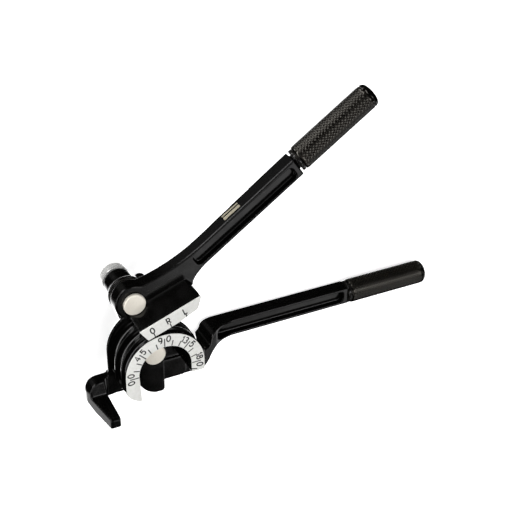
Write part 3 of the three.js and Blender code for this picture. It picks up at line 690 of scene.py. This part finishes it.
# ---- Pins, nuts and washers ---------------------------------------------------------------
def pin(name, node, body, centre):
    """A plated pin with a low, nearly flat head whose edge is rounded."""
    low, high = (corner.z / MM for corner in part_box(node))
    head, rise, fillet, crown, chamfer = 7.45, 3.2, 0.9, 0.35, 0.25
    under = high - rise
    profile = [(0, low), (PIN_RADIUS - 0.5, low), (PIN_RADIUS, low + 0.5), (PIN_RADIUS, under)]
    profile += [(head - chamfer, under), (head, under + chamfer)]
    profile += arc((head - fillet, high - crown - fillet), fillet, 0, 85, 12)
    edge = profile[-1]
    for share in np.linspace(0, 1, 12)[1:]:
        profile.append((edge[0] * (1 - share), edge[1] + (high - edge[1]) * (1 - (1 - share) ** 2)))
    piece = plain_piece(name, [moved(turned(profile, 128), *centre)], sharp_angle=50)
    finish_piece(piece, body, NICKEL, [node])


def rounded_ring(inner, outer, low, high):
    """A turned ring whose four edges are rounded."""
    fillet = 0.2
    points = []
    corners = [(inner, low, 180), (outer, low, 270), (outer, high, 0), (inner, high, 90)]
    for radius, height, start in corners:
        x = radius + (fillet if radius == inner else -fillet)
        z = height + (fillet if height == low else -fillet)
        points += arc((x, z), fillet, start, start + 90, 5)
    return turned(points)


def washer(node, body, material, centre, radius=WASHER_RADIUS):
    """A flat ring round a pin, as thick as the CAD node."""
    low, high = (corner.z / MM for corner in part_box(node))
    ring = moved(rounded_ring(BORE, radius, low, high), *centre)
    piece = plain_piece(f"{node}_piece", [ring])
    finish_piece(piece, body, material, [node])


def lock_nut():
    """A thin hexagon nut with its corners chamfered on both sides."""
    low, high = (corner.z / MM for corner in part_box("lock_nut_a"))
    corner_radius, face_radius, cone_radius, chamfer = 7.5, 6.6, 7.9, 0.9
    corners = [polar(corner_radius, 60 * i + 30) for i in range(6)]
    hexagon = extruded(corners, low, high)
    piece = new_object("lock_nut", mesh_from("lock_nut", [hexagon]))
    cone = turned([
        (0, low), (face_radius, low), (cone_radius, low + chamfer),
        (cone_radius, high - chamfer), (face_radius, high), (0, high)])
    hole = turned([(0, low - 1), (BORE, low - 1), (BORE, high + 1), (0, high + 1)])
    for shape, operation in ((cone, "INTERSECT"), (hole, "DIFFERENCE")):
        tool = new_object("tool", mesh_from("tool", [shape]))
        modifier = piece.modifiers.new(operation.lower(), "BOOLEAN")
        modifier.operation = operation
        modifier.solver = "EXACT"
        modifier.object = tool
        applied(piece)
        bpy.data.objects.remove(tool)
    shade(piece, 30)
    finish_piece(piece, "former", ZINC, ["lock_nut_a"])


def cap_nut():
    """A round blind nut with a rounded rear edge and a shallow groove near its mouth."""
    low, high = (corner.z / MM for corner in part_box("cap_nut_b"))
    outer, bore, roof, rounding = 9.5, 4.65, 1.8, 1.1
    profile = [(0, low + 0.25), (outer - 1.6, low)]
    profile += arc((outer - rounding, low + rounding), rounding, 270, 360, 8)
    profile += [(outer, high - 1.6), (outer - 0.35, high - 1.3), (outer - 0.35, high - 1.0)]
    profile += [(outer, high - 0.7), (outer - 0.15, high - 0.1), (outer - 0.5, high), (bore, high)]
    profile += [(bore, low + roof), (0, low + roof)]
    piece = plain_piece("cap_nut", [moved(turned(profile, 128), *PIVOT_B)], sharp_angle=40)
    finish_piece(piece, "link", SILVER, ["cap_nut_b"])


# ---- Grips --------------------------------------------------------------------------------
GRIP_RADIUS = 8.8
GRIP_BORE = 5.4
KNURLS_AROUND = 20
KNURL_DEPTH = 0.26
KNURL_SAMPLES = 10                     # mesh points for each knurl
COLLAR_RADIUS = 8.2


def triangle(value):
    """0 in a groove and 1 halfway between two grooves."""
    return 1 - np.abs(2 * (value % 1) - 1)


def knurled_sleeve(low, high):
    """A sleeve along X with a diamond knurl cut by two families of 45 degree grooves."""
    steepness, run_out = 2.6, 0.8          # of the grooves' walls; mm over which the knurl fades
    pitch = 2 * math.pi * GRIP_RADIUS / KNURLS_AROUND
    around = KNURLS_AROUND * KNURL_SAMPLES
    start, stop = low + 1.6, high - 1.2
    along = int(round((stop - start) / pitch * KNURL_SAMPLES))
    x = np.linspace(start, stop, along)[:, None]
    turn = np.arange(around)[None, :] / KNURL_SAMPLES
    a, b = turn + (x - start) / pitch, turn - (x - start) / pitch
    land = np.clip(steepness * np.minimum(triangle(a), triangle(b)), 0, 1)
    fade = np.clip(np.minimum(x - start, stop - x) / run_out, 0, 1)
    radius = GRIP_RADIUS - KNURL_DEPTH * (1 - land) * fade
    body = np.stack(np.broadcast_arrays(x, radius), -1)
    near_end = [
        (low, GRIP_BORE), (low, GRIP_RADIUS - 0.7),
        (low + 0.3, GRIP_RADIUS - 0.3), (low + 1.0, GRIP_RADIUS)]
    far_end = [(high - 0.7, GRIP_RADIUS), (high, GRIP_RADIUS - 0.3), (high, GRIP_BORE)]
    rows = [np.broadcast_to(row, (around, 2)) for row in near_end]
    rows += list(body)
    rows += [np.broadcast_to(row, (around, 2)) for row in far_end]
    table = np.stack(rows)
    angle = np.arange(around) * 2 * math.pi / around
    points = np.stack([
        table[..., 0], table[..., 1] * np.cos(angle), table[..., 1] * np.sin(angle)], -1)
    return points.reshape(-1, 3), grid_faces(len(rows), around, True, True)


def mark_lands(piece, centre, turn):
    """Stores how high the knurl stands at each vertex, 0 in a groove and 1 on a land."""
    lands = piece.data.attributes.new("land", "FLOAT", "POINT")
    axis = Vector((math.cos(turn), math.sin(turn), 0))
    for vertex, land in zip(piece.data.vertices, lands.data):
        out = vertex.co / MM - centre
        height = (out - axis * out.dot(axis)).length - GRIP_RADIUS + KNURL_DEPTH
        land.value = max(0, height / KNURL_DEPTH)


def end_plug(low):
    """The rounded end, with a thin groove where it meets the sleeve and a stem inside it."""
    reach, stem, stem_radius = 4.2, 7, GRIP_BORE - 0.1
    profile = [(0, low - stem), (stem_radius, low - stem), (stem_radius, low)]
    profile += [(GRIP_RADIUS - 0.45, low), (GRIP_RADIUS - 0.1, low + 0.35)]
    for angle in np.radians(np.linspace(8, 90, 22)):
        profile.append((GRIP_RADIUS * math.cos(angle) ** 0.5, low + reach * math.sin(angle)))
    profile[-1] = (0, low + reach)
    return along_x(turned(profile, 128))


def shank_collar(low, high):
    """The ring between a shank and its grip."""
    outer = COLLAR_RADIUS
    profile = [(GRIP_BORE, low), (outer - 0.6, low), (outer - 0.15, low + 0.2), (outer, low + 0.5)]
    profile += [(outer, high - 0.5), (outer - 0.4, high), (GRIP_BORE, high)]
    return along_x(turned(profile, 128))


def grip(side, body, turn):
    """The collar, knurled sleeve and end plug of one handle, placed from the sleeve's CAD box."""
    low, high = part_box(f"{side}_grip")
    centre = (low + high) / 2 / MM
    reach = (high - low) / MM
    wide = 2 * GRIP_RADIUS * abs(math.sin(turn))
    length = (reach.x - wide) / math.cos(turn)
    half = length / 2
    gap, collar_length = 0.3, 2.4
    collar = shank_collar(-half - gap - collar_length, -half - 0.1)
    shapes = {
        "collar": (collar, BLACK, "black_paint"),
        "grip": (knurled_sleeve(-half, half), GRIP, "knurled_black"),
        "end_plug": (end_plug(half + gap), GRIP, "knurled_black"),
    }
    for part, (shape, material, slot) in shapes.items():
        placed = moved(shape, centre.x, centre.y, centre.z, turn)
        sharp = None if part == "grip" else 40
        piece = plain_piece(f"{side}_{part}_piece", [placed], sharp_angle=sharp)
        if part == "grip":
            mark_lands(piece, centre, turn)
        finish_piece(piece, body, material, [f"{side}_{part}"])


# ---- Small details ------------------------------------------------------------------------
def foil_stripes():
    """Two plain foil stripes on the lever's side that faces away from the wheel, in place of a mark."""
    length, thick, corner_radius = 16.5, 0.16, 0.3
    along, out = 102.0, 44.45              # from pivot A, along the lever and out to that side
    shapes = []
    for height, z in ((2.7, 31.2), (1.3, 27.9)):
        outline = []
        for x, y, start in ((1, 1, 0), (-1, 1, 90), (-1, -1, 180), (1, -1, 270)):
            corner = (x * (length / 2 - corner_radius), y * (height / 2 - corner_radius))
            outline += arc(corner, corner_radius, start, start + 90, 5)
        points, faces = extruded(outline, 0, thick)
        upright = np.column_stack([points[:, 0] + along, points[:, 2] + out, points[:, 1] + z])
        shapes.append(moved((upright, faces), turn=LEVER_TILT))
    finish_piece(plain_piece("foil_stripes", shapes), "shoe", FOIL)


def dress_hidden_nodes():
    """CAD nodes that keep their own shape, inside the eyes."""
    for node in ("link_bush_a", "shoe_bush_b"):
        mesh = frame["nodes"][node].data
        mesh.materials.clear()
        mesh.materials.append(BRONZE)


# ---- Studio -------------------------------------------------------------------------------
def add_floor():
    """A pale floor that the tool lies on; the reflections come from the studio's cards instead."""
    size = 3.0
    low = cad_box[0][2]
    mesh = bpy.data.meshes.new("floor")
    corners = [(-size, -size, low), (size, -size, low), (size, size, low), (-size, size, low)]
    mesh.from_pydata(corners, [], [(0, 1, 2, 3)])
    floor = new_object("floor", mesh)
    s = Shader("pale_floor", roughness=0.9, specular_ior_level=0.1, emission_strength=0.75)
    s.main.inputs["Emission Color"].default_value = (1, 1, 1, 1)
    tone = s.noise(200, 2)
    mesh.materials.append(s.wire(base_color=s.mixed(tone, (0.93, 0.93, 0.93), (0.9, 0.9, 0.9))))
    floor.visible_glossy = False


CARDS = [
    # direction, half angle, soft edge in degrees, radiance
    ((0.43, -0.42, 0.8), 8, 4, 1.4),
    ((0.1, -0.4, -0.91), 13, 20, 3.4),
    ((-0.36, 0.53, -0.77), 8, 10, 0.12),
    ((0.38, 0.2, 0.9), 7, 6, 5.0),
    ((-0.1, 0.3, 0.95), 7, 6, 1.2),
    ((-0.51, 0.72, -0.46), 8, 4, 4.5),
    ((0.8, -0.58, 0.14), 8, 8, 1.2),
    ((-0.42, -0.62, -0.66), 9, 10, 0.8),
    ((0.38, -0.8, 0.46), 7, 5, 1.0),
]
STRIP_DIRECTION = (-0.8, 0.3, 0.0)       # the long light low down on the wheel's left
STRIP_REACH = (0.55, 0.8)                # its soft ends, as the cosine to that direction
STRIP_HEIGHTS = (0.02, 0.08, 0.17, 0.24)  # where it rises and fades, as the sine of elevation
STRIP_RADIANCE = 8.0
LIGHTS_AIM = (0.06, 0.04, 0.0)           # metres, between the wheel and the tool's middle


def add_world():
    """A dark studio with soft white cards, each a direction and a width, and one long low strip."""
    world = bpy.data.worlds.new("studio")
    world.use_nodes = True
    bpy.context.scene.world = world
    tree = world.node_tree
    place = tree.nodes.new("ShaderNodeTexCoord").outputs["Generated"]

    def along(direction):
        node = tree.nodes.new("ShaderNodeVectorMath")
        node.operation = "DOT_PRODUCT"
        tree.links.new(place, node.inputs[0])
        node.inputs[1].default_value = Vector(direction).normalized()
        return node.outputs["Value"]

    def stepped(value, low, high, top=1.0):
        node = tree.nodes.new("ShaderNodeMapRange")
        node.interpolation_type = "SMOOTHSTEP"
        for socket, number in (("From Min", low), ("From Max", high), ("To Max", top)):
            node.inputs[socket].default_value = number
        tree.links.new(value, node.inputs["Value"])
        return node.outputs["Result"]

    def joined(operation, a, b):
        node = tree.nodes.new("ShaderNodeMath")
        node.operation = operation
        tree.links.new(a, node.inputs[0])
        tree.links.new(b, node.inputs[1])
        return node.outputs[0]

    height = along((0, 0, 1))
    bottom_low, bottom_high, top_low, top_high = STRIP_HEIGHTS
    above = stepped(height, bottom_low, bottom_high)
    below = joined("SUBTRACT", above, stepped(height, top_low, top_high))
    total = joined("MULTIPLY", below, stepped(along(STRIP_DIRECTION), *STRIP_REACH, STRIP_RADIANCE))
    for direction, half, soft, radiance in CARDS:
        edge, core = (math.cos(math.radians(angle)) for angle in (half + soft, half))
        total = joined("ADD", total, stepped(along(direction), edge, core, radiance))
    tree.links.new(total, tree.nodes["Background"].inputs["Color"])


def add_light(name, place, size, power):
    """A soft area light that looks at the tool."""
    light = bpy.data.lights.new(name, "AREA")
    light.shape = "DISK"
    light.size = size
    light.energy = power
    piece = bpy.data.objects.new(name, light)
    bpy.context.scene.collection.objects.link(piece)
    piece.location = place
    aim = Vector(LIGHTS_AIM) - Vector(place)
    piece.rotation_euler = aim.to_track_quat("-Z", "Y").to_euler()
    piece.visible_glossy = False
    piece.visible_camera = False


def main():
    """Sets the camera, dresses every node, and sets the floor, the studio and the lights."""
    bpy.context.scene.view_settings.view_transform = "Standard"
    add_camera()
    former_casting()
    link_casting()
    shoe_casting()
    degree_scale()
    shoe_scale()
    pin("pivot_pin_a_piece", "pivot_pin_a", "former", (0, 0))
    pin("pivot_pin_b_piece", "pivot_pin_b", "link", PIVOT_B)
    washer("thrust_washer_a", "former", BRONZE, (0, 0))
    washer("rear_washer_a", "former", ZINC, (0, 0))
    # The wide washer is painted near-black, as painted shade filling the gap under the shoe's eye.
    washer("thrust_washer_b", "link", GAP_SHADE_BRONZE, PIVOT_B, WIDE_WASHER_RADIUS)
    washer("rear_washer_b", "link", ZINC, PIVOT_B)
    lock_nut()
    cap_nut()
    grip("former", "former", 0.0)
    grip("shoe", "shoe", LEVER_TILT)
    foil_stripes()
    dress_hidden_nodes()
    add_floor()
    add_world()
    add_light("overhead_softbox", (0.1, 0.1, 1.2), size=1.2, power=10.5)
    add_light("fill_softbox", (-0.9, 0.5, 0.8), size=0.8, power=1.5)


main()
